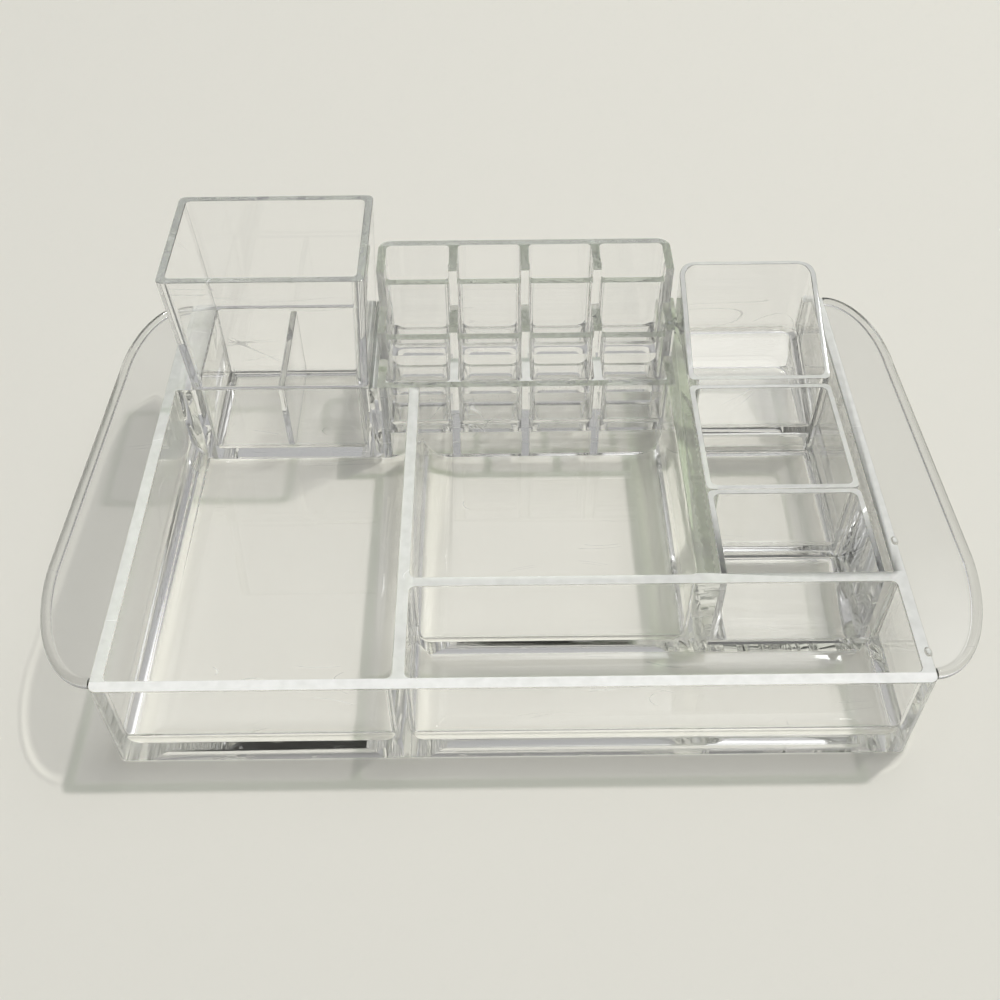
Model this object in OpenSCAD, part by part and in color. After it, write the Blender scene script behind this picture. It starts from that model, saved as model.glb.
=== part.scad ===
// Clear vanity organizer: a low tray with moulded-in partitions and a flared handle on each
// side, holding a tall brush cup, a stepped lipstick rack and a bank of three bins.
// The origin is at the middle of the tray's underside. +Y points to the back, +Z up.

/* [Tray] */
// Width of the tray over its side walls
tray_w = 320; // [310:1:350]
// Depth of the tray from front to back
tray_d = 231; // [220:1:250]
// Height of the tray's wall, and of every low partition
rim_h = 51; // [48:1:56]
// Thickness of the tray's walls
tray_wall = 5; // [4:0.5:6]
// Thickness of the tray's floor
tray_floor = 4; // [3:0.5:5]
// Radius of the tray's upright outer corners
tray_corner_r = 3.5; // [3:0.5:7]
// Radius of the compartments' upright corners
tray_inner_r = 2.5; // [1:0.5:3]
// Radius of the cove between a compartment's walls and its floor
cove_r = 15; // [8:0.5:17]
// Radius of the cove at either foot of the divider that runs across
cross_cove_r = 10; // [6:0.5:15]

/* [Handles] */
// How far each handle reaches out where its front curve starts
handle_front_reach = 29.5; // [20:0.5:36]
// How far each handle reaches out where its rear curve starts
handle_rear_reach = 25; // [20:0.5:36]
// Length of the front curve, measured along the side
handle_front_curve = 58; // [40:1:70]
// Length of the rear curve, measured along the side
handle_rear_curve = 50; // [40:1:70]
// Distance from the tray's front face back to the handle's front end
handle_front_inset = 2.5; // [0.5:0.5:6]
// Thickness of the handle's plate
handle_t = 2.8; // [2:0.2:3.6]
// Width of the bead that runs round the handle's edge
bead_w = 4; // [3:0.5:6]
// Height of that bead
bead_h = 4.6; // [4.4:0.2:8]
// Drop of the handle's plate below the top of its bead
handle_dish = 1.2; // [0.6:0.2:1.6]

/* [Rear modules] */
// Depth of the brush cup, the lipstick rack and the back bin
rear_d = 65; // [62:1:72]
// Thickness of the cement film between two bonded pieces
bond = 0.15; // [0.1:0.05:0.3]
// Radius of the modules' upright outer corners
module_r = 3; // [2:0.5:3.5]
// Radius of the cells' upright inner corners
cell_r = 2.5; // [1:0.5:3]
// Thickness of the modules' raised floors
module_floor = 3; // [2:0.5:4]
// Thickness of the floors of the cup and the front bin, which lie on the tray's floor
low_floor = 4; // [2:0.5:5]

/* [Brush cup] */
// Height of the brush cup above the surface that the tray stands on
cup_h = 113; // [95:1:130]
// Share of the tray's inner width that the brush cup takes up to rim height
cup_share = 0.268; // [0.24:0.002:0.29]
// How much each side of the cup flares outwards above rim height
cup_flare = 3.6; // [1:0.2:3.8]
// Thickness of the cup's walls
cup_wall = 3.6; // [3:0.2:4.4]
// Thickness of the web that fills the space between the tray's left wall and the cup
cup_side_gap = 7; // [5:0.5:10]
// Thickness of the web that fills the space between the cup and the lipstick rack
cup_rack_gap = 4; // [4:0.5:8]
// Thickness of the cup's low rib
rib_t = 3; // [2:0.5:4]
// Drop of the rib's top below the rim
rib_drop = 1.5; // [1:0.5:8]

/* [Lipstick rack] */
// Share of the tray's inner width that the four lipstick cells take together, without their walls
lip_cells_share = 0.39; // [0.35:0.002:0.4]
// Thickness of the rack's walls
lip_wall = 3.8; // [3:0.2:4.4]
// Height of the back row's dividers
lip_back_h = 87; // [80:1:96]
// Height of the middle row's dividers
lip_middle_h = 67; // [62:1:74]
// Height of the back row's cell floor
lip_back_floor = 38; // [32:1:44]
// Height of the middle row's cell floor
lip_middle_floor = 30.5; // [24:0.5:36]
// Height of the front row's cell floor
lip_front_floor = 22.5; // [12:0.5:28]
// Drop of the back row's front wall below its dividers
lip_back_drop = 7.5; // [1:0.5:10]
// Drop of the middle row's front wall below its dividers
lip_middle_drop = 4; // [1:0.5:8]
// Radius of the rack's upright rear corners
rack_back_r = 6; // [3:0.5:7]

/* [Bins] */
// Distance from the rack's right side to the bins, filled by a wall of the tray
bin_panel_gap = 6; // [5:0.5:10]
// Clear gap between the bins and the tray's right wall
bin_side_gap = 3.5; // [3:0.5:8]
// Thickness of the bins' walls
bin_wall = 3; // [2:0.2:4]
// Height of the back bin's back wall
bin_back_h = 73; // [64:1:84]
// Height of the back bin's front wall
bin_front_h = 54; // [48:1:60]
// Height of the back bin's floor at the back wall
bin_floor_high = 33.5; // [28:0.5:40]
// Height of the back bin's floor at its front wall
bin_floor_low = 20; // [16:1:27]
// Height of the middle bin's floor
middle_bin_floor = 10.5; // [9:0.5:20]
// Share of the depth between the back bin and the cross divider that the middle bin takes
middle_bin_share = 0.59; // [0.4:0.01:0.65]
// Radius of the back bin's upright rear corners
bin_back_r = 7; // [5:0.5:9]

/* [Partitions] */
// Clear width of the front left compartment
left_bay_w = 109; // [96:1:115]
// Clear depth of the long compartment behind the front wall
front_bay_d = 43.4; // [30:0.2:56]
// Thickness of the divider that runs from front to back
long_divider_t = 5; // [3:0.2:6]
// Thickness of the divider that runs across, in front of the bins
cross_divider_t = 4.8; // [3:0.2:6]

/* [Hidden] */
$fn = 48;

// Overrun of every cut past the face that it opens
over = 1;
// Steps along the curved end of a handle
curve_steps = 18;
// Number of lipstick columns
lip_columns = 4;
// Number of lipstick rows
lip_rows = 3;
// Angle covered by each curved end of a handle
quarter_turn = 90;
clear_plastic = [0.86, 0.9, 0.9, 0.45];

// Inner faces of the tray
in_left = -tray_w / 2 + tray_wall;
in_right = tray_w / 2 - tray_wall;
inner_w = in_right - in_left;
in_front = -tray_d / 2 + tray_wall;
back_y = tray_d / 2;

// Where the pieces stand: on the floor's cement film
seat_z = tray_floor + bond;
rear_y = back_y - rear_d;

// Brush cup
cup_x0 = in_left + cup_side_gap;
cup_x1 = cup_x0 + cup_share * inner_w;
cup_mid = (cup_x0 + cup_x1) / 2;
low_floor_z = seat_z + low_floor;

// Lipstick rack
rack_x0 = cup_x1 + cup_rack_gap;
lip_cell_w = lip_cells_share * inner_w / lip_columns;
lip_pitch = lip_cell_w + lip_wall;
rack_x1 = rack_x0 + lip_columns * lip_pitch + lip_wall;
lip_row_pitch = (rear_d - lip_wall) / lip_rows;

// Bins
bin_x0 = rack_x1 + bin_panel_gap;
bin_x1 = in_right - bin_side_gap;

// Partitions
long_x0 = in_left + left_bay_w;
long_x1 = long_x0 + long_divider_t;
cross_y0 = in_front + front_bay_d;
cross_y1 = cross_y0 + cross_divider_t;
middle_bin_y = rear_y - middle_bin_share * (rear_y - cross_y1);

// Rectangle from corner to corner with round corners
module round_rect(x0, x1, y0, y1, r) {
    translate([x0 + r, y0]) square([x1 - x0 - 2 * r, y1 - y0]);
    translate([x0, y0 + r]) square([x1 - x0, y1 - y0 - 2 * r]);
    for (x = [x0 + r, x1 - r], y = [y0 + r, y1 - r]) translate([x, y]) circle(r);
}

// Upright block with round corners
module block(x0, x1, y0, y1, z0, z1, r) {
    translate([0, 0, z0]) linear_extrude(z1 - z0) round_rect(x0, x1, y0, y1, r);
}

// Upright block whose back corners have a radius of their own
module rear_round_block(x0, x1, y0, y1, z0, z1, front_r, back_r) {
    union() {
        block(x0, x1, y0, y1, z0, z1, back_r);
        block(x0, x1, y0, (y0 + y1) / 2, z0, z1, front_r);
    }
}

// Plain box from corner to corner
module box(x0, x1, y0, y1, z0, z1) {
    translate([x0, y0, z0]) cube([x1 - x0, y1 - y0, z1 - z0]);
}

// Place that a module stands in, cut out of the tray from its floor to its rim
module notch(x0, x1, y0, y1) {
    box(x0 - bond, x1, y0, y1, tray_floor, rim_h + over);
}

// Section of a compartment from a0 to a1: upright walls, and a cove of the given radius at each end
module coved_section(a0, a1, r0, r1) {
    r = max(r0, r1);
    translate([a0, tray_floor + r]) square([a1 - a0, rim_h - tray_floor - r + over]);
    translate([a0 + r0, tray_floor]) square([a1 - a0 - r0 - r1, r + over]);
    if (r0 > 0) translate([a0 + r0, tray_floor + r0]) circle(r0);
    if (r1 > 0) translate([a1 - r1, tray_floor + r1]) circle(r1);
}

// Open compartment with a cove round its floor, and at its rear only where rear_r isn't zero
module bay(x0, x1, y0, y1, front_r, rear_r) {
    corner_room = rear_r > 0 ? 0 : tray_inner_r;
    intersection() {
        block(x0, x1, y0, y1 + corner_room, tray_floor, rim_h + over, tray_inner_r);
        translate([0, y1, 0]) rotate([90, 0, 0]) linear_extrude(y1 - y0)
            coved_section(x0, x1, cove_r, cove_r);
        translate([x0, 0, 0]) rotate([90, 0, 90]) linear_extrude(x1 - x0)
            coved_section(y0, y1, front_r, rear_r);
    }
}

// Floor, walls, partitions and the webs between the modules are one moulding
module base_tray() {
    half_w = tray_w / 2;
    half_d = tray_d / 2;
    color(clear_plastic) difference() {
        block(-half_w, half_w, -half_d, half_d, 0, rim_h, tray_corner_r);
        bay(in_left, long_x0, in_front, rear_y, cove_r, 0);
        bay(long_x1, rack_x1 - lip_wall, cross_y1, rear_y, cross_cove_r, 0);
        bay(long_x1, in_right, in_front, cross_y0, cove_r, cross_cove_r);
        notch(cup_x0, cup_x1 + bond, rear_y - bond, half_d + over);
        notch(rack_x0, rack_x1 + bond, rear_y - bond, half_d + over);
        notch(bin_x0, in_right, cross_y1, half_d - tray_wall);
        notch(bin_x0, bin_x1 + bond, half_d - tray_wall - over, half_d + over);
    }
}

// Points of a handle's outline: a straight side with a quarter ellipse at each end
function handle_points(inset) = let (
    rear_reach = handle_rear_reach - inset,
    front_reach = handle_front_reach - inset,
    rear_curve = handle_rear_curve - inset,
    front_curve = handle_front_curve - inset,
    rear_start = tray_d / 2 - handle_rear_curve,
    front_start = handle_front_inset + handle_front_curve - tray_d / 2,
    quarter = [for (i = [0 : curve_steps]) quarter_turn * i / curve_steps]
) concat(
    [for (a = quarter) [rear_reach * cos(a), rear_start + rear_curve * sin(a)]],
    [for (i = [0 : curve_steps]) let (a = quarter[curve_steps - i])
        [front_reach * cos(a), front_start - front_curve * sin(a)]]
);

// A handle that reaches along +X from x = 0: a thin plate with a bead round its outer edge
module handle() {
    top = rim_h;
    difference() {
        translate([0, 0, top - bead_h]) linear_extrude(bead_h) polygon(handle_points(0));
        translate([-over, 0, top - handle_dish]) linear_extrude(handle_dish + over)
            handle_inside();
        translate([-over, 0, top - bead_h - over])
            linear_extrude(bead_h + over - handle_dish - handle_t) handle_inside();
    }
}

// Outline inside the bead, carried past the tray's side so that the plate meets it squarely
module handle_inside() {
    polygon(handle_points(bead_w));
    translate([over, 0]) polygon(handle_points(bead_w));
}

module left_handle() {
    color(clear_plastic) translate([-tray_w / 2 - bond, 0, 0]) mirror([1, 0, 0]) handle();
}

module right_handle() {
    color(clear_plastic) translate([tray_w / 2 + bond, 0, 0]) handle();
}

module brush_cup_cell() {
    color(clear_plastic) difference() {
        block(cup_x0, cup_x1, rear_y, back_y, seat_z, rim_h, module_r);
        block(cup_x0 + cup_wall, cup_x1 - cup_wall, rear_y + cup_wall, back_y - cup_wall,
            low_floor_z, rim_h + over, cell_r);
    }
}

// Solid that flares sideways from the cell's width at the rim to the cup's full width,
// carried up and down by the given extra length along the same slope
module flared_solid(inset, extra, r) {
    slope = cup_flare / (cup_h - rim_h);
    low = rim_h + bond - extra;
    high = cup_h + extra;
    spread_low = -slope * extra;
    spread_high = cup_flare + slope * extra;
    slice = bond;
    hull() {
        block(cup_x0 + inset - spread_low, cup_x1 - inset + spread_low,
            rear_y + inset, back_y - inset, low, low + slice, r);
        block(cup_x0 + inset - spread_high, cup_x1 - inset + spread_high,
            rear_y + inset, back_y - inset, high - slice, high, r);
    }
}

module brush_cup_sleeve() {
    color(clear_plastic) difference() {
        flared_solid(0, 0, module_r);
        flared_solid(cup_wall, over, cell_r);
    }
}

module brush_cup_rib() {
    color(clear_plastic)
        box(cup_mid - rib_t / 2, cup_mid + rib_t / 2, rear_y + cup_wall + bond, back_y - cup_wall - bond,
            low_floor_z + bond, rim_h - rib_drop);
}

// One row of lipstick cells, counted from the front: a front wall, the dividers and a floor.
// The wall behind the cells belongs to the row behind. The back row has a back wall of its own.
module lipstick_row(row, floor_z, top_z, drop, back_wall) {
    y0 = rear_y + row * lip_row_pitch;
    y1 = y0 + lip_row_pitch - bond + (back_wall ? lip_wall + bond : 0);
    cell_y0 = y0 + lip_wall;
    cell_y1 = back_wall ? y1 - lip_wall : y1 + over;
    cell_round = back_wall ? cell_r : 0;
    difference() {
        union() {
            box(rack_x0, rack_x1, y0, back_wall ? (y0 + y1) / 2 : y1, seat_z, top_z);
            if (back_wall) block(rack_x0, rack_x1, y0, y1, seat_z, top_z, rack_back_r);
        }
        for (column = [0 : lip_columns - 1]) {
            x0 = rack_x0 + lip_wall + column * lip_pitch;
            x1 = x0 + lip_cell_w;
            lip_cell(x0, x1, cell_y0, cell_y1, floor_z, top_z + over, cell_round);
            box(x0, x1, cell_y0, cell_y1, seat_z - over, floor_z - module_floor);
            box(x0, x1, y0 - over, cell_y0 + over, top_z - drop, top_z + over);
        }
    }
}

// Cutter for one cell, round at its upright corners, or round at the front ones only
module lip_cell(x0, x1, y0, y1, z0, z1, back_r) {
    block(x0, x1, y0, y1, z0, z1, cell_r);
    if (back_r == 0) box(x0, x1, (y0 + y1) / 2, y1, z0, z1);
}

module front_lipstick_row() {
    color(clear_plastic) lipstick_row(0, lip_front_floor, rim_h, 0, false);
}

module middle_lipstick_row() {
    color(clear_plastic) lipstick_row(1, lip_middle_floor, lip_middle_h, lip_middle_drop, false);
}

module back_lipstick_row() {
    color(clear_plastic) lipstick_row(lip_rows - 1, lip_back_floor, lip_back_h, lip_back_drop, true);
}

// Outline in Y and Z, extruded along X between two places
module side_profile(x0, x1, points) {
    translate([x0, 0, 0]) rotate([90, 0, 90]) linear_extrude(x1 - x0) polygon(points);
}

module back_bin() {
    inner_front = rear_y + bin_wall;
    inner_back = back_y - bin_wall;
    color(clear_plastic) difference() {
        rear_round_block(bin_x0, bin_x1, rear_y, back_y, seat_z, bin_back_h, module_r, bin_back_r);
        side_profile(bin_x0 - over, bin_x1 + over, [
            [rear_y - over, bin_front_h],
            [inner_front, bin_front_h],
            [inner_back, bin_back_h],
            [inner_back, bin_back_h + over],
            [rear_y - over, bin_back_h + over]
        ]);
        intersection() {
            rear_round_block(bin_x0 + bin_wall, bin_x1 - bin_wall, inner_front, inner_back,
                seat_z, bin_back_h + over, cell_r, bin_back_r - bin_wall);
            side_profile(bin_x0, bin_x1, [
                [inner_front, bin_floor_low],
                [inner_back, bin_floor_high],
                [inner_back, bin_back_h + over],
                [inner_front, bin_back_h + over]
            ]);
        }
        side_profile(bin_x0 + bin_wall, bin_x1 - bin_wall, [
            [inner_front, seat_z - over],
            [inner_back, seat_z - over],
            [inner_back, bin_floor_high - module_floor],
            [inner_front, bin_floor_low - module_floor]
        ]);
    }
}

module middle_bin() {
    y0 = middle_bin_y;
    y1 = rear_y - bond;
    color(clear_plastic) difference() {
        block(bin_x0, bin_x1, y0, y1, seat_z, rim_h, module_r);
        block(bin_x0 + bin_wall, bin_x1 - bin_wall, y0 + bin_wall, y1 - bin_wall,
            middle_bin_floor, rim_h + over, cell_r);
        box(bin_x0 + bin_wall, bin_x1 - bin_wall, y0 + bin_wall, y1 - bin_wall,
            seat_z - over, middle_bin_floor - module_floor);
    }
}

// The front bin has no front wall of its own: the tray's cross divider closes it
module front_bin() {
    y0 = cross_y1 + bond;
    y1 = middle_bin_y - bond;
    color(clear_plastic) difference() {
        union() {
            block(bin_x0, bin_x1, y0, y1, seat_z, rim_h, module_r);
            box(bin_x0, bin_x1, y0, (y0 + y1) / 2, seat_z, rim_h);
        }
        block(bin_x0 + bin_wall, bin_x1 - bin_wall, y0 - over, y1 - bin_wall,
            low_floor_z, rim_h + over, cell_r);
        box(bin_x0 + bin_wall, bin_x1 - bin_wall, y0 - over, (y0 + y1) / 2,
            low_floor_z, rim_h + over);
    }
}

base_tray();
left_handle();
right_handle();
brush_cup_cell();
brush_cup_sleeve();
brush_cup_rib();
back_lipstick_row();
middle_lipstick_row();
front_lipstick_row();
back_bin();
middle_bin();
front_bin();
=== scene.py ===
"""Visual model of a clear vanity organizer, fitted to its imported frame. Lengths are in millimetres."""
import math

import bmesh
import bpy
from mathutils import Matrix, Vector


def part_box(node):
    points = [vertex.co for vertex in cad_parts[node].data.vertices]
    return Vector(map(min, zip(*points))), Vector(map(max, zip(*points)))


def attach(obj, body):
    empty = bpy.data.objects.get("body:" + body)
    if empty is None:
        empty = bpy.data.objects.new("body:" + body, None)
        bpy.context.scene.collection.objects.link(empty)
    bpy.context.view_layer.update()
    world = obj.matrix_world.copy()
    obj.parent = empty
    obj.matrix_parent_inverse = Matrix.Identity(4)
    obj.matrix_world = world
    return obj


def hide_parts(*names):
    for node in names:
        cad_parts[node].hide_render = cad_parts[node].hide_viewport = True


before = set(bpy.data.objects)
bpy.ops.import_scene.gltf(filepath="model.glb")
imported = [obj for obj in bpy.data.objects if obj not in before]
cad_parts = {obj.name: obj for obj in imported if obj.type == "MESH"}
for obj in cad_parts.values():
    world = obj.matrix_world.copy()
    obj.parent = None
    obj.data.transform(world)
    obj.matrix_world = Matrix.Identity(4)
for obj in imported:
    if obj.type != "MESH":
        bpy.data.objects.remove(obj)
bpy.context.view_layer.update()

MM = 0.001
BODY = "root"

# Walls and floors, as thick as in the CAD, and the cement film between two pieces
TRAY_WALL, TRAY_FLOOR = 5.0, 4.0
CUP_WALL, BIN_WALL, LIP_WALL = 3.6, 3.0, 3.8
MODULE_FLOOR, LOW_FLOOR = 3.0, 4.0
BOND = 0.15

# Partitions of the tray, which are moulded in one with it
LEFT_BAY_W, FRONT_BAY_D = 109.0, 43.4
LONG_DIVIDER, CROSS_DIVIDER = 5.0, 4.8
COVE_R, CROSS_COVE_R = 15.0, 10.0

# How far the sides of the brush cup lean out between the tray's rim and the top
CUP_FLARE = 3.6

# Lipstick rack: its columns, how far a row's front wall is lower than its dividers, and its floors' heights
LIP_COLUMNS = 4
BACK_DROP, MIDDLE_DROP = 7.5, 4.0
BACK_FLOOR, MIDDLE_FLOOR, FRONT_FLOOR = 38.0, 30.5, 22.5

# Bins: heights of the back bin's rim at its front and of its floor behind and in front, and the middle
# bin's floor
BIN_FRONT_H = 54.0
BIN_FLOOR_HIGH, BIN_FLOOR_LOW = 33.5, 20.0
MIDDLE_BIN_FLOOR = 10.5

# Radii of upright corners. A sharp one still has a radius, so that each ring has as many points.
TRAY_CORNER_R, BAY_CORNER_R = 3.5, 2.5
MODULE_R, MODULE_INNER_R = 3.0, 2.5
BIN_BACK_R, RACK_BACK_R = 9.0, 6.0
LEAST_R, SHARP_R = 0.2, 0.05

# Roundings and draft that a moulding has where the CAD has a plain edge
FLOOR_FILLET, CELL_FILLET, UNDER_FILLET = 5.0, 6.0, 2.0
RIM_ROUND, EDGE_ROUND, RACK_EDGE_ROUND = 0.4, 0.5, 0.45
DRAFT = 0.4

# Steps in a quarter circle
ARC_STEPS, CORNER_STEPS, COVE_STEPS = 6, 7, 16
EDGE_STEPS, RIM_STEPS = 3, 4

# How far a cutter reaches past what it cuts
BEYOND = 1.0


def span(node):
    """A CAD node's box as x0, x1, y0, y1, z0, z1 in millimetres."""
    low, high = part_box(node)
    return [round(c / MM, 3) for pair in zip(low, high) for c in pair]


# Mesh helpers

def arc(steps=ARC_STEPS):
    """Angles of a quarter circle in radians."""
    return [math.pi / 2 * i / steps for i in range(steps + 1)]


def quarter(cx, cz, r, start):
    """Points of a quarter circle about (cx, cz), from a start angle in degrees, anticlockwise."""
    return [(cx + r * math.cos(math.radians(start + 90 * i / ARC_STEPS)),
             cz + r * math.sin(math.radians(start + 90 * i / ARC_STEPS))) for i in range(ARC_STEPS + 1)]


def foot_edge(z0):
    """Insets and heights of the round edge at the foot of a wall, from below."""
    return [(EDGE_ROUND * (1 - math.sin(a)), z0 + EDGE_ROUND * (1 - math.cos(a))) for a in arc(EDGE_STEPS)]


def rim_edge(z1):
    """Insets and heights of the round edge at the top of a wall, from below."""
    return [(RIM_ROUND * (1 - math.cos(a)), z1 - RIM_ROUND * (1 - math.sin(a))) for a in arc(RIM_STEPS)]


def level_ring(z, x0, x1, y0, y1, front_r, back_r):
    """Anticlockwise outline at height z of a rectangle with round corners, from its front left corner."""
    corners = ((x0, y0, 1, 1, 180, front_r), (x1, y0, -1, 1, 270, front_r),
               (x1, y1, -1, -1, 0, back_r), (x0, y1, 1, -1, 90, back_r))
    points = []
    for cx, cy, sx, sy, start, r in corners:
        for i in range(CORNER_STEPS + 1):
            a = math.radians(start + 90 * i / CORNER_STEPS)
            points.append((cx + sx * r + r * math.cos(a), cy + sy * r + r * math.sin(a), z))
    return points


def make_object(name, points, faces):
    """New object from points in millimetres, with its faces turned outwards."""
    mesh = bpy.data.meshes.new(name)
    mesh.from_pydata([Vector(p) * MM for p in points], [], faces)
    bm = bmesh.new()
    bm.from_mesh(mesh)
    bmesh.ops.remove_doubles(bm, verts=bm.verts, dist=1e-7)
    bmesh.ops.recalc_face_normals(bm, faces=bm.faces)
    bm.to_mesh(mesh)
    bm.free()
    obj = bpy.data.objects.new(name, mesh)
    bpy.context.scene.collection.objects.link(obj)
    return obj


def stack_rings(rings):
    """Points and faces of a closed skin through rings of equal length, capped at both ends."""
    count = len(rings[0])
    points = [p for ring in rings for p in ring]
    faces = [tuple(range(count))[::-1]]
    for level in range(len(rings) - 1):
        a, b = level * count, (level + 1) * count
        faces += [(a + i, a + (i + 1) % count, b + (i + 1) % count, b + i) for i in range(count)]
    last = (len(rings) - 1) * count
    faces.append(tuple(range(last, last + count)))
    return points, faces


def block(name, x0, x1, y0, y1, z0, z1):
    """Box with sharp corners, for a cutter."""
    return make_object(name, *stack_rings([[(x0, y0, z), (x1, y0, z), (x1, y1, z), (x0, y1, z)]
                                           for z in (z0, z1)]))


def plate(name, x0, x1, outline):
    """Plate across X with round edges, whose outline is given in Y and Z."""
    obj = make_object(name, *stack_rings([[(x, y, z) for y, z in outline] for x in (x0, x1)]))
    soften(obj, EDGE_ROUND)
    return obj


def vessel(name, box, wall, floor_z, under_z=None, outer_r=(MODULE_R, MODULE_R),
           inner_r=(MODULE_INNER_R, MODULE_INNER_R), draft=DRAFT, warp=None):
    """Open box with round corners: a foot, outer walls, a round rim, inner walls and a filleted floor.

    Where under_z is given, the space below that height is hollow and open to the bottom. warp gives a
    point's new height from its y and z."""
    x0, x1, y0, y1, z0, z1 = box
    rows = []

    def ring(inset, z, radii):
        points = level_ring(z, x0 + inset, x1 - inset, y0 + inset, y1 - inset,
                            *(max(r, LEAST_R) for r in radii))
        rows.append([(x, y, warp(y, z)) for x, y, z in points] if warp else points)

    def outer(inset, z):
        ring(inset, z, [r - inset for r in outer_r])

    def inner(extra, z):
        ring(wall + extra, z, [r - extra for r in inner_r])

    if under_z is not None:
        for a in arc(RIM_STEPS):
            inner(UNDER_FILLET * (1 - math.sin(a)), under_z - UNDER_FILLET * (1 - math.cos(a)))
        inner(0, z0 + EDGE_ROUND)
        inner(-EDGE_ROUND, z0)
    for inset, z in foot_edge(z0) + rim_edge(z1):
        outer(inset, z)
    for inset, z in reversed(rim_edge(z1)):
        inner(-draft - inset, z)
    for a in arc():
        inner(FLOOR_FILLET * (1 - math.cos(a)), floor_z + FLOOR_FILLET * (1 - math.sin(a)))
    return make_object(name, *stack_rings(rows))


def soften(obj, width):
    """Rounds the edges at which the surface turns sharply."""
    bevel = obj.modifiers.new("moulded edges", "BEVEL")
    bevel.width = width * MM
    bevel.segments = 2
    bevel.limit_method = "ANGLE"
    bevel.angle_limit = math.radians(40)
    bevel.use_clamp_overlap = True


def split(obj, place, direction, cut_off=False):
    """Splits the faces that a plane crosses. cut_off also removes what lies beyond it and closes the cut."""
    bm = bmesh.new()
    bm.from_mesh(obj.data)
    result = bmesh.ops.bisect_plane(bm, geom=bm.verts[:] + bm.edges[:] + bm.faces[:], dist=1e-7,
                                    plane_co=Vector(place) * MM, plane_no=direction, clear_outer=cut_off)
    if cut_off:
        edges = [part for part in result["geom_cut"] if isinstance(part, bmesh.types.BMEdge)]
        bmesh.ops.holes_fill(bm, edges=edges)
        bmesh.ops.recalc_face_normals(bm, faces=bm.faces)
    bm.to_mesh(obj.data)
    bm.free()


def bake(obj):
    """Applies every modifier of obj."""
    graph = bpy.context.evaluated_depsgraph_get()
    mesh = bpy.data.meshes.new_from_object(obj.evaluated_get(graph))
    obj.modifiers.clear()
    obj.data = mesh


def put_in_order(obj):
    """Sorts the points and faces of obj by place, because a boolean in Geometry Nodes gives them in
    another order each run."""
    corners = [tuple(v.co) for v in obj.data.vertices]
    points = sorted(set(corners))
    rank = {point: i for i, point in enumerate(points)}
    faces = []
    for polygon in obj.data.polygons:
        loop = [rank[corners[i]] for i in polygon.vertices]
        start = loop.index(min(loop))
        faces.append(loop[start:] + loop[:start])
    mesh = bpy.data.meshes.new(obj.name)
    mesh.from_pydata(points, [], sorted(faces))
    obj.data = mesh


def cut(obj, cutters, operation="DIFFERENCE"):
    """Takes the cutters' shapes away from obj for good, or joins them to it, and deletes them."""
    for cutter in cutters:
        boolean = obj.modifiers.new("cut", "BOOLEAN")
        boolean.object = cutter
        boolean.operation = operation
        boolean.solver = "EXACT"
    bake(obj)
    for cutter in cutters:
        bpy.data.objects.remove(cutter)


# Materials

def linear(hexa):
    """sRGB hex string to linear colour."""
    channels = [int(hexa[i:i + 2], 16) / 255 for i in (1, 3, 5)]
    return [c / 12.92 if c <= 0.04045 else ((c + 0.055) / 1.055) ** 2.4 for c in channels] + [1.0]


def add(tree, kind, links=None, **settings):
    """Adds a node. settings are its properties or, by input name with _ for a space, its inputs."""
    node = tree.nodes.new(kind)
    for key, value in settings.items():
        if hasattr(node, key):
            setattr(node, key, value)
        else:
            node.inputs[key.replace("_", " ")].default_value = value
    for key, source in (links or {}).items():
        tree.links.new(source, node.inputs[key])
    return node


# Real spacings of the plastic's patterns. The specks are coarser than real bubbles, which are under a
# millimetre and wouldn't show in the render.
FLOW_WAVES = 28.0
SPECKS = 3.2
SCRATCH_CURVES = 22.0
WORN_PATCHES = 30.0
# The last is the spacing of the mottling in the rims' painted light, not a pattern of the plastic
PAINTED_LIGHT_MOTTLING = 5.0


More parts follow.
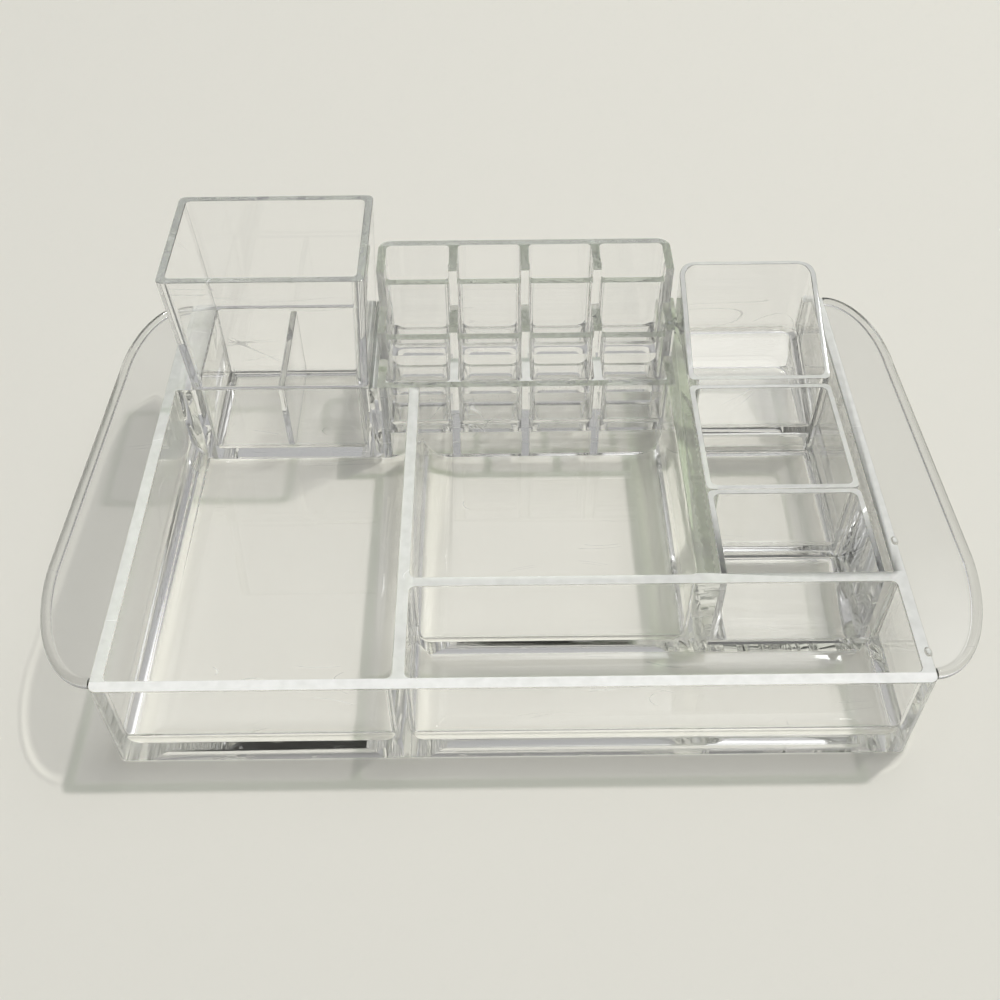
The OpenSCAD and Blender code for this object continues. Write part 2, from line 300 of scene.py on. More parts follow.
def clear_moulding(name, through=0.95, gather=1.45, side=0.55, painted_light=0.0, bubbles=0.0, waviness=0.03,
                   tint="#F2F5F0", density=2.0):
    """Injection-moulded clear polystyrene: glassy, faintly cool where it is thick, with slow flow waves
    from the mould and a few hair scratches from use.

    through, gather and side are the shares of the lamp's light that pass a level, a sloping and an
    upright surface: coves and round edges gather light into bright lines, upright walls shade the
    cloth. The share of light that the surface scatters as white is painted light: it stands in for
    the lamp's light that clear walls carry down to the cloth and for reflections. bubbles and
    waviness are the heights in millimetres of the specks that trapped air leaves and of the flow waves."""
    mat = bpy.data.materials.new(name)
    mat.use_nodes = True
    tree = mat.node_tree
    tree.nodes.clear()
    place = add(tree, "ShaderNodeTexCoord")

    # Glassy surface with its waves and specks
    flow = add(tree, "ShaderNodeTexNoise", {"Vector": place.outputs["Object"]},
               Scale=1 / (FLOW_WAVES * MM), Detail=1.5, Roughness=0.4)
    relief = add(tree, "ShaderNodeBump", {"Height": flow.outputs["Fac"]},
                 Strength=1.0, Distance=waviness * MM)
    if bubbles:
        specks = add(tree, "ShaderNodeTexVoronoi", {"Vector": place.outputs["Object"]},
                     feature="SMOOTH_F1", Scale=1 / (SPECKS * MM), Smoothness=0.4)
        relief = add(tree, "ShaderNodeBump", {"Height": specks.outputs["Distance"],
                                              "Normal": relief.outputs["Normal"]},
                     Strength=1.0, Distance=bubbles * MM)
    glassy = add(tree, "ShaderNodeBsdfPrincipled", {"Normal": relief.outputs["Normal"]},
                 Base_Color=(1, 1, 1, 1), Roughness=0.0, IOR=1.57, Transmission_Weight=1.0)

    # Hair scratches: thin curves where a stretched noise passes its middle value, in a few worn patches
    along = add(tree, "ShaderNodeMapping", {"Vector": place.outputs["Object"]},
                Rotation=(0.4, 0.5, 0.6), Scale=(0.3, 1.0, 1.0))
    hair = add(tree, "ShaderNodeTexNoise", {"Vector": along.outputs[0]},
               Scale=1 / (SCRATCH_CURVES * MM), Detail=0.0)
    off_line = add(tree, "ShaderNodeMath", {0: hair.outputs["Fac"]}, operation="SUBTRACT")
    off_line.inputs[1].default_value = 0.5
    distance = add(tree, "ShaderNodeMath", {0: off_line.outputs[0]}, operation="ABSOLUTE")
    line = add(tree, "ShaderNodeMapRange", {"Value": distance.outputs[0]},
               From_Min=0.0006, From_Max=0.0024, To_Min=0.45, To_Max=0.0)
    worn = add(tree, "ShaderNodeTexNoise", {"Vector": place.outputs["Object"]},
               Scale=1 / (WORN_PATCHES * MM), Detail=0.0)
    where = add(tree, "ShaderNodeMapRange", {"Value": worn.outputs["Fac"]},
                From_Min=0.66, From_Max=0.70, To_Min=0.0, To_Max=1.0)
    scratch = add(tree, "ShaderNodeMath", {0: line.outputs["Result"], 1: where.outputs["Result"]},
                  operation="MULTIPLY")

    # Painted light: white scattered from the surface, slightly mottled, standing in for the lamp's light that
    # clear walls carry down to the cloth and for reflections. The hair scratches join it.
    painted_light_mottle_noise = add(tree, "ShaderNodeTexNoise", {"Vector": place.outputs["Object"]},
                 Scale=1 / (PAINTED_LIGHT_MOTTLING * MM), Detail=2.0)
    painted_light_share = add(tree, "ShaderNodeMapRange", {"Value": painted_light_mottle_noise.outputs["Fac"]},
                From_Min=0.3, From_Max=0.7, To_Min=painted_light * 0.92, To_Max=painted_light * 1.08)
    scratches_and_painted_light = add(tree, "ShaderNodeMath", {0: scratch.outputs[0], 1: painted_light_share.outputs["Result"]},
                operation="ADD", use_clamp=True)
    scatter = add(tree, "ShaderNodeBsdfDiffuse", Color=linear("#FBFCFC"))
    surface = add(tree, "ShaderNodeMixShader", {0: scratches_and_painted_light.outputs[0], 1: glassy.outputs[0],
                                                2: scatter.outputs[0]})

    # The lamp's light on its way to the cloth
    shape = add(tree, "ShaderNodeNewGeometry")
    axes = add(tree, "ShaderNodeSeparateXYZ", {"Vector": shape.outputs["Normal"]})
    level = add(tree, "ShaderNodeMath", {0: axes.outputs["Z"]}, operation="ABSOLUTE")
    sloping = add(tree, "ShaderNodeMapRange", {"Value": level.outputs[0]},
                  interpolation_type="SMOOTHSTEP", From_Min=0.1, From_Max=0.6, To_Min=side, To_Max=gather)
    flat = add(tree, "ShaderNodeMapRange", {"Value": level.outputs[0]},
               interpolation_type="SMOOTHSTEP", From_Min=0.75, From_Max=0.98, To_Min=0.0, To_Max=1.0)
    share = add(tree, "ShaderNodeMix", {"Factor": flat.outputs["Result"], "A": sloping.outputs["Result"]},
                data_type="FLOAT", B=through)
    passed = add(tree, "ShaderNodeBsdfTransparent", {"Color": share.outputs["Result"]})
    path = add(tree, "ShaderNodeLightPath")
    both = add(tree, "ShaderNodeMixShader", {0: path.outputs["Is Shadow Ray"], 1: surface.outputs[0],
                                             2: passed.outputs[0]})
    depth = add(tree, "ShaderNodeVolumeAbsorption", Color=linear(tint), Density=density)
    add(tree, "ShaderNodeOutputMaterial", {"Surface": both.outputs[0], "Volume": depth.outputs[0]})
    return mat


# Polished walls, straight from the mould. Those of the modules shade the cloth less than the tray's do.
tray_plastic = clear_moulding("clear_polystyrene_tray")
cup_plastic = clear_moulding("clear_polystyrene_cup", side=0.84)
rack_plastic = clear_moulding("clear_polystyrene_rack", side=0.8)
bin_plastic = clear_moulding("clear_polystyrene_bins", side=0.6)

# Wide thin plates, wavier, with a grey tint that is painted shade: it stands in for the darkening that the
# dished plates' refraction and shading give, so that they stand out from the cloth
handle_plastic_painted_shade = clear_moulding("clear_polystyrene_handles_painted_shade", through=0.82, side=0.45, waviness=0.08,
                                tint="#A9ABA4", density=52.0)

# Flat rims with painted light: white scattered from them stands in for the lamp's light that the walls carry
# down and for reflections, which makes them bright bands
rim_painted_bright = clear_moulding("clear_polystyrene_rims_painted_light", painted_light=0.6)
front_rim_painted_bright = clear_moulding("clear_polystyrene_front_rim_painted_light", painted_light=0.84)
thin_rim_painted_bright = clear_moulding("clear_polystyrene_thin_rims_painted_light", painted_light=0.5)

# Narrow rims and joints with trapped air, which speckle what is seen through them. The narrow rims also get a
# little painted light, white that stands in for light that the walls carry.
cup_rim_bubbly_painted_bright = clear_moulding("clear_polystyrene_cup_rim_painted_light", painted_light=0.22, bubbles=0.12)
bubbly_plastic = clear_moulding("clear_polystyrene_bubbly_wall", bubbles=0.2)


def finish_faces(obj, material, chosen):
    """Gives another finish to the faces for which chosen says yes, from their normal and middle."""
    obj.data.materials.append(material)
    slot = len(obj.data.materials) - 1
    for face in obj.data.polygons:
        if chosen(face.normal, face.center / MM):
            face.material_index = slot


def finish_piece(obj, material, node):
    """Smooth shading that keeps flat faces flat, then the piece's finish, body and CAD node."""
    obj.data.shade_smooth()
    weigh = obj.modifiers.new("flat faces stay flat", "WEIGHTED_NORMAL")
    weigh.mode = "FACE_AREA"
    weigh.keep_sharp = True
    weigh.weight = 100
    obj.data.materials.clear()
    obj.data.materials.append(material)
    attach(obj, BODY)
    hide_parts(node)
    return obj


# Tray

tray_box = span("base_tray")
half_w, half_d, rim_h = tray_box[1], tray_box[3], tray_box[5]
in_left, in_right = -half_w + TRAY_WALL, half_w - TRAY_WALL
in_front = -half_d + TRAY_WALL
cup_box, rack_box, bin_box = span("brush_cup_cell"), span("back_lipstick_row"), span("back_bin")

rear_y = cup_box[2]
long_x0 = in_left + LEFT_BAY_W
long_x1 = long_x0 + LONG_DIVIDER
cross_y0 = in_front + FRONT_BAY_D
cross_y1 = cross_y0 + CROSS_DIVIDER

# The broad wall between the middle compartment and the bins
joint_x0, joint_x1 = rack_box[1] - LIP_WALL, bin_box[0]

# Moulding nibs on the right rim
NIB_R, NIB_STRETCH, NIB_H, NIB_SINK = 1.5, 1.6, 1.0, 0.2
NIB_INSET = 1.0
NIB_PLACES = (-46.0, -101.5)
NIB_RINGS, NIB_TURNS = 8, 16


def cove_inset(r, z):
    """How far a cove of radius r stands in from its wall at height z."""
    low = TRAY_FLOOR + r - z
    return r - math.sqrt(max(r * r - low * low, 0.0)) if r and low > 0 else 0.0


def bay(x0, x1, y0, y1, front_r, rear_r):
    """Cutter for one open compartment: round at the rim, with a broad cove round its floor.

    Where rear_r is zero, its rear side is upright, because a module stands there."""
    rows = []

    def ring(grow, z):
        side, front, rear = (cove_inset(r, z) - grow for r in (COVE_R, front_r, rear_r))
        corner = max(BAY_CORNER_R - min(side, front), LEAST_R)
        rows.append(level_ring(z, x0 + side, x1 - side, y0 + front, y1 - (rear if rear_r else 0),
                               corner, corner if rear_r else SHARP_R))

    ring(RIM_ROUND, rim_h + BEYOND)
    for a in arc(RIM_STEPS):
        ring(RIM_ROUND * (1 - math.sin(a)), rim_h - RIM_ROUND * (1 - math.cos(a)))
    for a in arc(COVE_STEPS):
        ring(0, TRAY_FLOOR + COVE_R * (1 - math.sin(a)))
    return make_object("bay", *stack_rings(rows))


def notch(x0, x1, y0, y1):
    """Cutter for the place that a module stands in."""
    return block("notch", x0, x1, y0, y1, TRAY_FLOOR, rim_h + BEYOND)


def tray_blank():
    """The tray before its compartments: a block with round corners, rim and foot."""
    x0, x1, y0, y1, z0, z1 = tray_box
    return make_object("tray", *stack_rings([
        level_ring(z, x0 + inset, x1 - inset, y0 + inset, y1 - inset, TRAY_CORNER_R - inset,
                   TRAY_CORNER_R - inset) for inset, z in foot_edge(z0) + rim_edge(z1)]))


def nib(x, y):
    """Small smooth bump on the rim, to be joined to the tray."""
    tilts = [math.radians(-90 + 180 * (i + 0.5) / NIB_RINGS) for i in range(NIB_RINGS)]
    turns = [math.tau * i / NIB_TURNS for i in range(NIB_TURNS)]
    return make_object("nib", *stack_rings([
        [(x + NIB_R * math.cos(a) * math.cos(t), y + NIB_STRETCH * NIB_R * math.cos(a) * math.sin(t),
          rim_h - NIB_SINK + NIB_H * math.sin(a)) for t in turns] for a in tilts]))


def on_tray_rim(normal, middle):
    """True for the tray's flat rim."""
    return normal.z > 0.95 and middle.z > rim_h - 0.1


def on_front_rim(normal, middle):
    return on_tray_rim(normal, middle) and middle.y < in_front


def on_bubbly_joint(normal, middle):
    """True for the top and the right side of the broad wall beside the bins."""
    return (joint_x0 < middle.x < joint_x1 and middle.y > cross_y1
            and (normal.x > 0.95 or on_tray_rim(normal, middle)))


tray = tray_blank()
cut(tray, [bay(in_left, long_x0, in_front, rear_y, COVE_R, 0),
           bay(long_x1, joint_x0, cross_y1, rear_y, CROSS_COVE_R, 0),
           bay(long_x1, in_right, in_front, cross_y0, COVE_R, CROSS_COVE_R),
           notch(cup_box[0] - BOND, cup_box[1] + BOND, rear_y - BOND, half_d + BEYOND),
           notch(rack_box[0] - BOND, rack_box[1] + BOND, rear_y - BOND, half_d + BEYOND),
           notch(bin_box[0] - BOND, in_right, cross_y1, half_d - TRAY_WALL),
           notch(bin_box[0] - BOND, bin_box[1] + BOND, half_d - TRAY_WALL - BEYOND, half_d + BEYOND)])
for nib_y in NIB_PLACES:
    cut(tray, [nib(half_w - NIB_INSET, nib_y)], "UNION")
# The flat rim is one face, so it is split where its finish and its painted light change
split(tray, (joint_x0 + RIM_ROUND, 0, 0), (1, 0, 0))
split(tray, (0, cross_y1 + RIM_ROUND, 0), (0, 1, 0))
split(tray, (0, in_front - RIM_ROUND, 0), (0, 1, 0))
finish_piece(tray, tray_plastic, "base_tray")
# The rims get painted light, white that stands in for light that the walls carry down, the front rim the most
finish_faces(tray, rim_painted_bright, on_tray_rim)
finish_faces(tray, front_rim_painted_bright, on_front_rim)
finish_faces(tray, bubbly_plastic, on_bubbly_joint)

# Handles

# A handle's reach from the tray and the length of its curve, at the rear and at the front, and how far
# its front end stands back from the tray's front
REAR_REACH, FRONT_REACH = 25.0, 29.5
REAR_CURVE, FRONT_CURVE = 50.0, 58.0
FRONT_SETBACK = 3.5
OUTLINE_STEPS = 24
# Past a quarter turn, so that the plate's ends cross the tray's side, where they are cut off
OUTLINE_TURN = 96

# Plate and lip: the plate's thickness and its depth below the rim, and the lip's width and height
HANDLE_T, DISH = 2.4, 1.7
LIP_W, LIP_H = 3.4, 4.6
LIP_FLATNESS, LIP_STEPS = 0.8, 12


def handle_outline(inset):
    """A handle's outline from its rear end to its front end, as reach and y."""
    rear, front = REAR_REACH - inset, FRONT_REACH - inset
    rear_curve, front_curve = REAR_CURVE - inset, FRONT_CURVE - inset
    rear_start = half_d - REAR_CURVE
    front_start = FRONT_SETBACK + FRONT_CURVE - half_d
    turn = [math.radians(OUTLINE_TURN) * i / OUTLINE_STEPS for i in range(OUTLINE_STEPS + 1)]
    return ([(rear * math.cos(a), rear_start + rear_curve * math.sin(a)) for a in reversed(turn)]
            + [(front * math.cos(a), front_start - front_curve * math.sin(a)) for a in turn])


def handle_section():
    """Insets and heights across the plate's edge: under the plate, round the lip, then above the plate."""
    r = LIP_H / 2
    plate_top = rim_h - DISH
    plate_low = rim_h - DISH - HANDLE_T
    tilts = [math.radians(-90 + 180 * i / LIP_STEPS) for i in range(LIP_STEPS + 1)]
    below = [(LIP_W + 1.2, plate_low), (LIP_W + 0.2, plate_low - 0.25), (LIP_W - 0.6, rim_h - LIP_H)]
    lip = [(r * LIP_FLATNESS * (1 - math.cos(a)), rim_h - r + r * math.sin(a)) for a in tilts]
    above = [(LIP_W - 1.2, rim_h - 0.05), (LIP_W - 0.2, rim_h - 0.4), (LIP_W + 0.6, plate_top + 0.1),
             (LIP_W + 1.6, plate_top)]
    return below + lip + above


def handle(name, side, node):
    """Thin plate beside the tray with a round, raised lip along its free edge."""
    rows = [[(side * (half_w + BOND + reach), y, z) for reach, y in handle_outline(inset)]
            for inset, z in handle_section()]
    count = len(rows[0])
    points = [p for row in rows for p in row]
    faces = []
    for level in range(len(rows) - 1):
        a, b = level * count, (level + 1) * count
        faces += [(a + i, a + i + 1, b + i + 1, b + i) for i in range(count - 1)]
    last = (len(rows) - 1) * count
    ends = [[level * count + end for level in range(len(rows))] for end in (0, count - 1)]
    faces += [tuple(range(count)), tuple(range(last, last + count)), tuple(ends[0] + ends[1][::-1])]
    obj = make_object(name, points, faces)
    split(obj, (side * (half_w + BOND), 0, 0), (-side, 0, 0), cut_off=True)
    finish_piece(obj, handle_plastic_painted_shade, node)


handle("handle_left", -1, "left_handle")
handle("handle_right", 1, "right_handle")

# Brush cup

# The rib's lower corners are just rounder than the cell's floor, so that the two don't touch
RIB_CORNER_R = FLOOR_FILLET + 0.3


def on_module_rim(normal, middle):
    """True for the flat top of a module."""
    return normal.z > 0.9 and middle.z > rim_h - 1


def sleeve(name, box):
    """Open-ended sleeve whose sides lean outwards."""
    x0, x1, y0, y1, z0, z1 = box
    x0, x1 = x0 + CUP_FLARE, x1 - CUP_FLARE
    rows = []

    def ring(inset, z, r):
        spread = CUP_FLARE * (z - z0) / (z1 - z0)
        rows.append(level_ring(z, x0 + inset - spread, x1 - inset + spread, y0 + inset, y1 - inset, r, r))

    for inset, z in foot_edge(z0) + rim_edge(z1):
        ring(inset, z, MODULE_R)
    for inset, z in reversed(foot_edge(z0) + rim_edge(z1)):
        ring(CUP_WALL - inset, z, MODULE_INNER_R)
    count = len(rows[0])
    points = [p for row in rows for p in row]
    faces = []
    for level in range(len(rows)):
        a, b = level * count, (level + 1) % len(rows) * count
        faces += [(a + i, a + (i + 1) % count, b + (i + 1) % count, b + i) for i in range(count)]
    return make_object(name, points, faces)


cup_cell = vessel("cup_cell", cup_box, CUP_WALL, cup_box[4] + LOW_FLOOR, outer_r=(0.6, MODULE_R), draft=0.0)
finish_piece(cup_cell, cup_plastic, "brush_cup_cell")

cup_top = finish_piece(sleeve("cup_sleeve", span("brush_cup_sleeve")), cup_plastic, "brush_cup_sleeve")
# Its rim gets speckles and a little painted light, white that stands in for light that the walls carry
finish_faces(cup_top, cup_rim_bubbly_painted_bright, on_module_rim)

rib_x0, rib_x1, rib_y0, rib_y1, rib_z0, rib_z1 = span("brush_cup_rib")
rib_curve_z = rib_z0 + RIB_CORNER_R
rib_outline = ([(rib_y0, rib_z1), (rib_y0, rib_curve_z)]
               + quarter(rib_y0 + RIB_CORNER_R, rib_curve_z, RIB_CORNER_R, 180)[1:]
               + quarter(rib_y1 - RIB_CORNER_R, rib_curve_z, RIB_CORNER_R, 270)[:-1]
               + [(rib_y1, rib_curve_z), (rib_y1, rib_z1)])
finish_piece(plate("cup_rib", rib_x0, rib_x1, rib_outline), cup_plastic, "brush_cup_rib")

# Lipstick rack

LIP_CELL = (rack_box[1] - rack_box[0] - (LIP_COLUMNS + 1) * LIP_WALL) / LIP_COLUMNS


def pocket(y0, y1, floor_z, top_z, open_back):
    """Cutter for the cell in the first column, with a filleted floor."""
    x0 = rack_box[0] + LIP_WALL
    x1 = x0 + LIP_CELL
    rows = []
    for a in reversed(arc()):
        inset = CELL_FILLET * (1 - math.cos(a))
        r = max(MODULE_INNER_R - inset, LEAST_R)
        rows.append(level_ring(floor_z + CELL_FILLET * (1 - math.sin(a)), x0 + inset, x1 - inset,
                               y0 + inset, y1, r, SHARP_R if open_back else r))
    rows.append(level_ring(top_z, x0, x1, y0, y1, MODULE_INNER_R, SHARP_R if open_back else MODULE_INNER_R))
    return make_object("pocket", *stack_rings(rows))


def cutter_row():
    """Geometry Nodes that repeat a cutter along the row and take the copies away from the block."""
    tree = bpy.data.node_groups.new("lipstick cells", "GeometryNodeTree")
    face = tree.interface
    for label, kind, value in (("Geometry", "NodeSocketGeometry", None), ("Cutter", "NodeSocketObject", None),
                               ("Columns", "NodeSocketInt", LIP_COLUMNS),
                               ("Pitch", "NodeSocketFloat", (LIP_CELL + LIP_WALL) * MM),
                               ("Finish", "NodeSocketMaterial", None)):
        socket = face.new_socket(name=label, in_out="INPUT", socket_type=kind)
        if value is not None:
            socket.default_value = value
    face.new_socket(name="Geometry", in_out="OUTPUT", socket_type="NodeSocketGeometry")
    inputs = add(tree, "NodeGroupInput")
    step = add(tree, "ShaderNodeCombineXYZ", {"X": inputs.outputs["Pitch"]})
    line = add(tree, "GeometryNodeMeshLine", {"Count": inputs.outputs["Columns"], "Offset": step.outputs[0]},
               mode="OFFSET")
    source = add(tree, "GeometryNodeObjectInfo", {"Object": inputs.outputs["Cutter"]},
                 transform_space="RELATIVE")
    copies = add(tree, "GeometryNodeInstanceOnPoints",
                 {"Points": line.outputs[0], "Instance": source.outputs["Geometry"]})
    solid = add(tree, "GeometryNodeRealizeInstances", {"Geometry": copies.outputs[0]})
    less = add(tree, "GeometryNodeMeshBoolean", {"Mesh 1": inputs.outputs["Geometry"],
                                                 "Mesh 2": solid.outputs[0]}, operation="DIFFERENCE")
    real = add(tree, "GeometryNodeRealizeInstances", {"Geometry": less.outputs["Mesh"]})
    dressed = add(tree, "GeometryNodeSetMaterial", {"Geometry": real.outputs[0],
                                                    "Material": inputs.outputs["Finish"]})
    add(tree, "NodeGroupOutput", {"Geometry": dressed.outputs[0]})
    return tree


row_cuts = cutter_row()


def cut_row(obj, cutter):
    """Takes one cutter away at every column of the rack."""
    modifier = obj.modifiers.new("cells", "NODES")
    modifier.node_group = row_cuts
    sockets = {item.name: item.identifier for item in row_cuts.interface.items_tree
               if item.item_type == "SOCKET" and item.in_out == "INPUT"}
    modifier[sockets["Cutter"]] = cutter
    modifier[sockets["Columns"]] = LIP_COLUMNS
    modifier[sockets["Pitch"]] = (LIP_CELL + LIP_WALL) * MM
    modifier[sockets["Finish"]] = rack_plastic
    bake(obj)
    put_in_order(obj)
    bpy.data.objects.remove(cutter)


def lipstick_row(name, node, floor_z, drop, back_wall):
    """One row of the rack: four cells over a hollow foot. A row without a back wall ends at the next row.

    drop is how far its front wall is lower than its dividers. Only the back row has a back wall."""
    x0, x1, y0, y1, z0, z1 = span(node)
    cell_x0, cell_y0 = x0 + LIP_WALL, y0 + LIP_WALL
    cell_x1 = cell_x0 + LIP_CELL
    cell_y1 = y1 - LIP_WALL if back_wall else y1 + BEYOND
    body = make_object(name, *stack_rings([
        level_ring(z, x0, x1, y0, y1, SHARP_R, RACK_BACK_R if back_wall else SHARP_R) for z in (z0, z1)]))
    cut_row(body, pocket(cell_y0, cell_y1, floor_z, z1 + BEYOND, not back_wall))
    cut_row(body, block("under", cell_x0, cell_x1, cell_y0, cell_y1, z0 - BEYOND, floor_z - MODULE_FLOOR))
    if drop:
        cut_row(body, block("drop", cell_x0, cell_x1, y0 - BEYOND, cell_y0 + BEYOND, z1 - drop, z1 + BEYOND))
    split(body, (x0 + LIP_WALL, 0, 0), (1, 0, 0))
    split(body, (x1 - LIP_WALL, 0, 0), (1, 0, 0))
    split(body, (0, y0 + LIP_WALL, 0), (0, 1, 0))
    split(body, (0, y1 - LIP_WALL, 0), (0, 1, 0))
    soften(body, RACK_EDGE_ROUND)
    finish_piece(body, rack_plastic, node)

    def on_back_rim(normal, middle):
        return on_module_rim(normal, middle) and middle.y > y1 - LIP_WALL and back_wall

    def before_back_rim(normal, middle):
        return on_module_rim(normal, middle) and middle.y < y1 - LIP_WALL

    def on_divider(normal, middle):
        return (on_module_rim(normal, middle) and middle.y > y0 + LIP_WALL
                and x0 + LIP_WALL < middle.x < x1 - LIP_WALL)

    # Painted light on the rims: a little on the back rim, more on the front row's dividers
    finish_faces(body, cup_rim_bubbly_painted_bright, on_back_rim)
    finish_faces(body, bubbly_plastic, before_back_rim)
    if node == "front_lipstick_row":
        finish_faces(body, rim_painted_bright, on_divider)


lipstick_row("rack_back_row", "back_lipstick_row", BACK_FLOOR, BACK_DROP, True)
lipstick_row("rack_middle_row", "middle_lipstick_row", MIDDLE_FLOOR, MIDDLE_DROP, False)
lipstick_row("rack_front_row", "front_lipstick_row", FRONT_FLOOR, 0, False)

# Bins

back_y0, back_y1 = bin_box[2] + BIN_WALL, bin_box[3] - BIN_WALL
# The back bin's foot lies below the first height, its floor and fillet below the second, its rim above
FOOT_TOP = 10.0
FLOOR_TOP = BIN_FLOOR_HIGH + FLOOR_FILLET + 0.1
# How much longer the front bin is before its front wall is sliced off
SLICED = 12


def lean(y, z):
    """Slopes the back bin's rim and its floor down towards the front."""
    share = min(max((y - back_y0) / (back_y1 - back_y0), 0.0), 1.0)
    rim = BIN_FRONT_H + (bin_box[5] - BIN_FRONT_H) * share
    if z < FOOT_TOP:
        return z
    if z < FLOOR_TOP:
        return z + (BIN_FLOOR_HIGH - BIN_FLOOR_LOW) * (share - 1)
    return z + rim - bin_box[5]


def open_front_bin(name, node):
    """The bin that the cross divider closes: a vessel whose front wall is sliced off."""
    x0, x1, y0, y1, z0, z1 = span(node)
    obj = vessel(name, (x0, x1, y0 - SLICED, y1, z0, z1), BIN_WALL, z0 + LOW_FLOOR)
    split(obj, (0, y0, 0), (0, -1, 0), cut_off=True)
    return obj


back_bin = vessel("bin_back", bin_box, BIN_WALL, BIN_FLOOR_HIGH, BIN_FLOOR_HIGH - MODULE_FLOOR,
                  outer_r=(MODULE_R, BIN_BACK_R), inner_r=(MODULE_INNER_R, BIN_BACK_R - BIN_WALL), warp=lean)
middle_bin = vessel("bin_middle", span("middle_bin"), BIN_WALL, MIDDLE_BIN_FLOOR,
                    MIDDLE_BIN_FLOOR - MODULE_FLOOR)
front_bin = open_front_bin("bin_front", "front_bin")
for bin_piece, bin_node in ((back_bin, "back_bin"), (middle_bin, "middle_bin"), (front_bin, "front_bin")):
    finish_piece(bin_piece, bin_plastic, bin_node)
    # Their rims get painted light, white that stands in for light that the walls carry down
    finish_faces(bin_piece, thin_rim_painted_bright, on_module_rim)

# Stage, light and camera

FLOOR_HALF = 9000
# The floor lies just under the feet, so that no two faces share a plane
FLOOR_GAP = 0.2

# Where the shadows of both handles' ends say that the lamp is, in metres
LAMP_PLACE = Vector((1.66, 1.14, 4.55))
LAMP_SIZE, LAMP_POWER = 0.2, 111


def cloth_floor():
    """Plain pale backdrop cloth."""
    size = FLOOR_HALF
    floor = make_object("floor", [(-size, -size, 0), (size, -size, 0), (size, size, 0), (-size, size, 0)],
                        [(0, 1, 2, 3)])
    floor.location.z = -FLOOR_GAP * MM
    mat = bpy.data.materials.new("pale_backdrop_cloth")
    mat.use_nodes = True
    tree = mat.node_tree
    tree.nodes.clear()
    shader = add(tree, "ShaderNodeBsdfPrincipled", Base_Color=linear("#E2E1DA"), Roughness=0.9)
    add(tree, "ShaderNodeOutputMaterial", {"Surface": shader.outputs[0]})
    floor.data.materials.append(mat)


def key_lamp():
    """Soft warm lamp on the right and behind, aimed at the tray's middle."""
    data = bpy.data.lights.new("key_from_right_and_behind", "AREA")
    data.shape = "DISK"
    data.size = LAMP_SIZE
    data.energy = LAMP_POWER
    data.color = linear("#FFFDF6")[:3]
    # The room shows the lamp's disc to clear surfaces, so the lamp itself isn't looked for there
    data.cycles.use_multiple_importance_sampling = False
    lamp = bpy.data.objects.new("key_from_right_and_behind", data)
    lamp.location = LAMP_PLACE
    lamp.rotation_euler = (-LAMP_PLACE).to_track_quat("-Z", "Y").to_euler()
    bpy.context.scene.collection.objects.link(lamp)


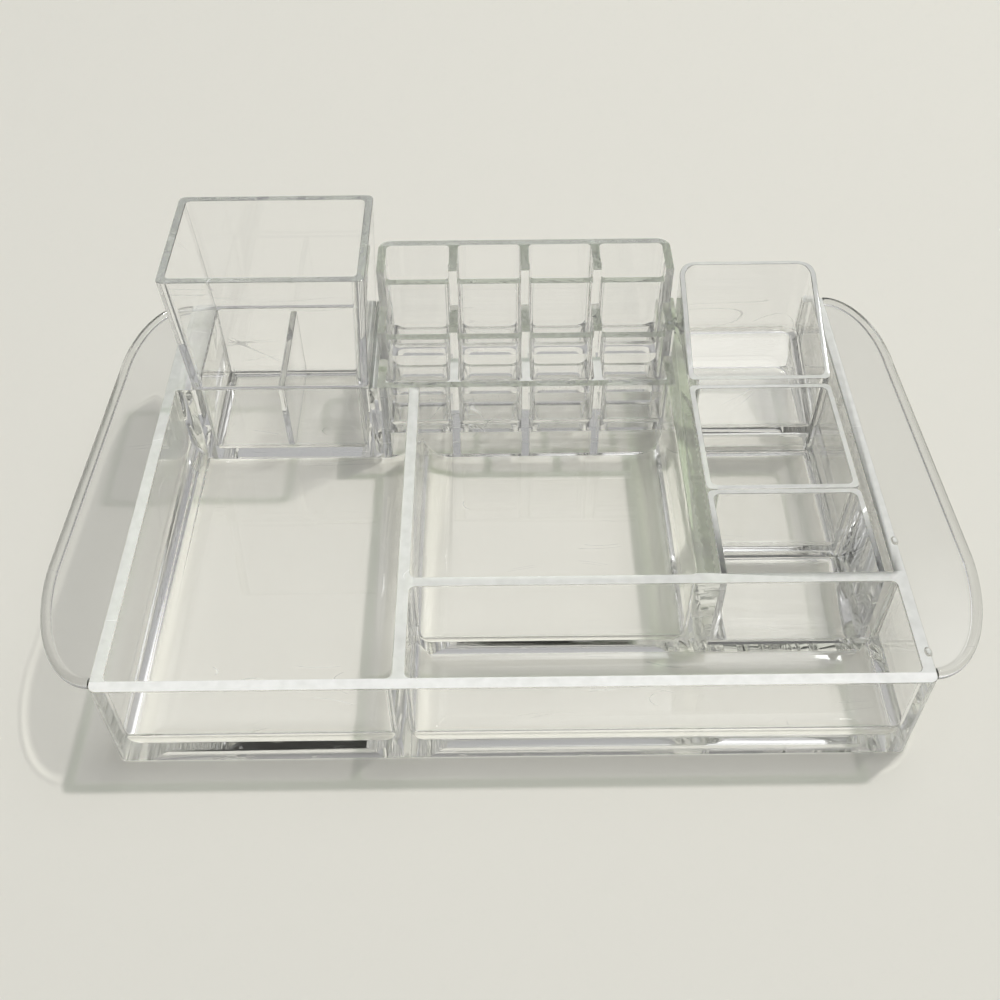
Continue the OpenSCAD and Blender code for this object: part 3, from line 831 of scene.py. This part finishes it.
def studio_world():
    """Soft room: dim near the floor and in front, a brighter ceiling, and a bright patch round the lamp.

    The dim parts give clear walls and edges their dark outlines."""
    world = bpy.data.worlds.new("studio")
    world.use_nodes = True
    tree = world.node_tree
    tree.nodes.clear()
    place = add(tree, "ShaderNodeTexCoord")
    axes = add(tree, "ShaderNodeSeparateXYZ", {"Vector": place.outputs["Generated"]})
    height = add(tree, "ShaderNodeValToRGB", {"Fac": axes.outputs["Z"]})
    ramp = height.color_ramp
    ramp.elements[1].position = 0.75
    ramp.elements.new(0.3)
    for element, grey in zip(ramp.elements, (0.13, 0.36, 0.49)):
        element.color = (grey, grey, grey, 1)
    front = add(tree, "ShaderNodeMapRange", {"Value": axes.outputs["Y"]},
                interpolation_type="SMOOTHSTEP", From_Min=-0.8, From_Max=-0.1, To_Min=0.25, To_Max=1.0)
    towards = add(tree, "ShaderNodeVectorMath", {0: place.outputs["Generated"]}, operation="DOT_PRODUCT")
    towards.inputs[1].default_value = LAMP_PLACE.normalized()
    patch = add(tree, "ShaderNodeMapRange", {"Value": towards.outputs["Value"]},
                interpolation_type="SMOOTHSTEP", From_Min=0.90, From_Max=0.97, To_Min=0.0, To_Max=1.8)
    disc = add(tree, "ShaderNodeMapRange", {"Value": towards.outputs["Value"]},
               interpolation_type="SMOOTHSTEP", From_Min=0.9972, From_Max=0.9992, To_Min=0.0, To_Max=80.0)
    # The disc shows only until light has met something matt, which the lamp already lights
    path = add(tree, "ShaderNodeLightPath")
    direct = add(tree, "ShaderNodeMath", {0: path.outputs["Diffuse Depth"]}, operation="LESS_THAN")
    direct.inputs[1].default_value = 0.5
    shown = add(tree, "ShaderNodeMath", {0: disc.outputs["Result"], 1: direct.outputs[0]},
                operation="MULTIPLY")
    base = add(tree, "ShaderNodeBackground", {"Color": height.outputs["Color"],
                                              "Strength": front.outputs["Result"]})
    glow = add(tree, "ShaderNodeBackground", {"Strength": patch.outputs["Result"]})
    lamp = add(tree, "ShaderNodeBackground", {"Strength": shown.outputs[0]})
    room = add(tree, "ShaderNodeAddShader", {0: base.outputs[0], 1: glow.outputs[0]})
    both = add(tree, "ShaderNodeAddShader", {0: room.outputs[0], 1: lamp.outputs[0]})
    add(tree, "ShaderNodeOutputWorld", {"Surface": both.outputs[0]})
    world.cycles.sampling_method = "NONE"
    bpy.context.scene.world = world


# The camera that the tray's edges in the photograph give
PITCH, YAW, ROLL = (math.radians(a) for a in (48.018, 0.209, 0.482))
CAMERA_PLACE = (-5.31, -359.17, 426.94)
CAMERA_LENS, CAMERA_SENSOR = 42.544, 36


def photo_camera():
    """The camera at the photograph's angle."""
    forward = Vector((math.sin(YAW) * math.cos(PITCH), math.cos(YAW) * math.cos(PITCH), -math.sin(PITCH)))
    level = Vector((math.cos(YAW), -math.sin(YAW), 0))
    down = forward.cross(level)
    across = math.cos(ROLL) * level + math.sin(ROLL) * down
    below = -math.sin(ROLL) * level + math.cos(ROLL) * down
    data = bpy.data.cameras.new("camera")
    data.lens = CAMERA_LENS
    data.sensor_width = CAMERA_SENSOR
    data.clip_start, data.clip_end = 0.01, 60
    camera = bpy.data.objects.new("camera", data)
    camera.matrix_world = Matrix.Translation(Vector(CAMERA_PLACE) * MM) @ Matrix(
        (across, -below, -forward)).transposed().to_4x4()
    bpy.context.scene.collection.objects.link(camera)
    bpy.context.scene.camera = camera


cloth_floor()
key_lamp()
studio_world()
photo_camera()

# Light passes many clear walls on its way, and stays sharp in them
scene = bpy.context.scene
scene.view_settings.view_transform = "Standard"
for bounces in ("max_bounces", "transmission_bounces", "transparent_max_bounces", "glossy_bounces"):
    setattr(scene.cycles, bounces, 32)
scene.cycles.blur_glossy = 0.0
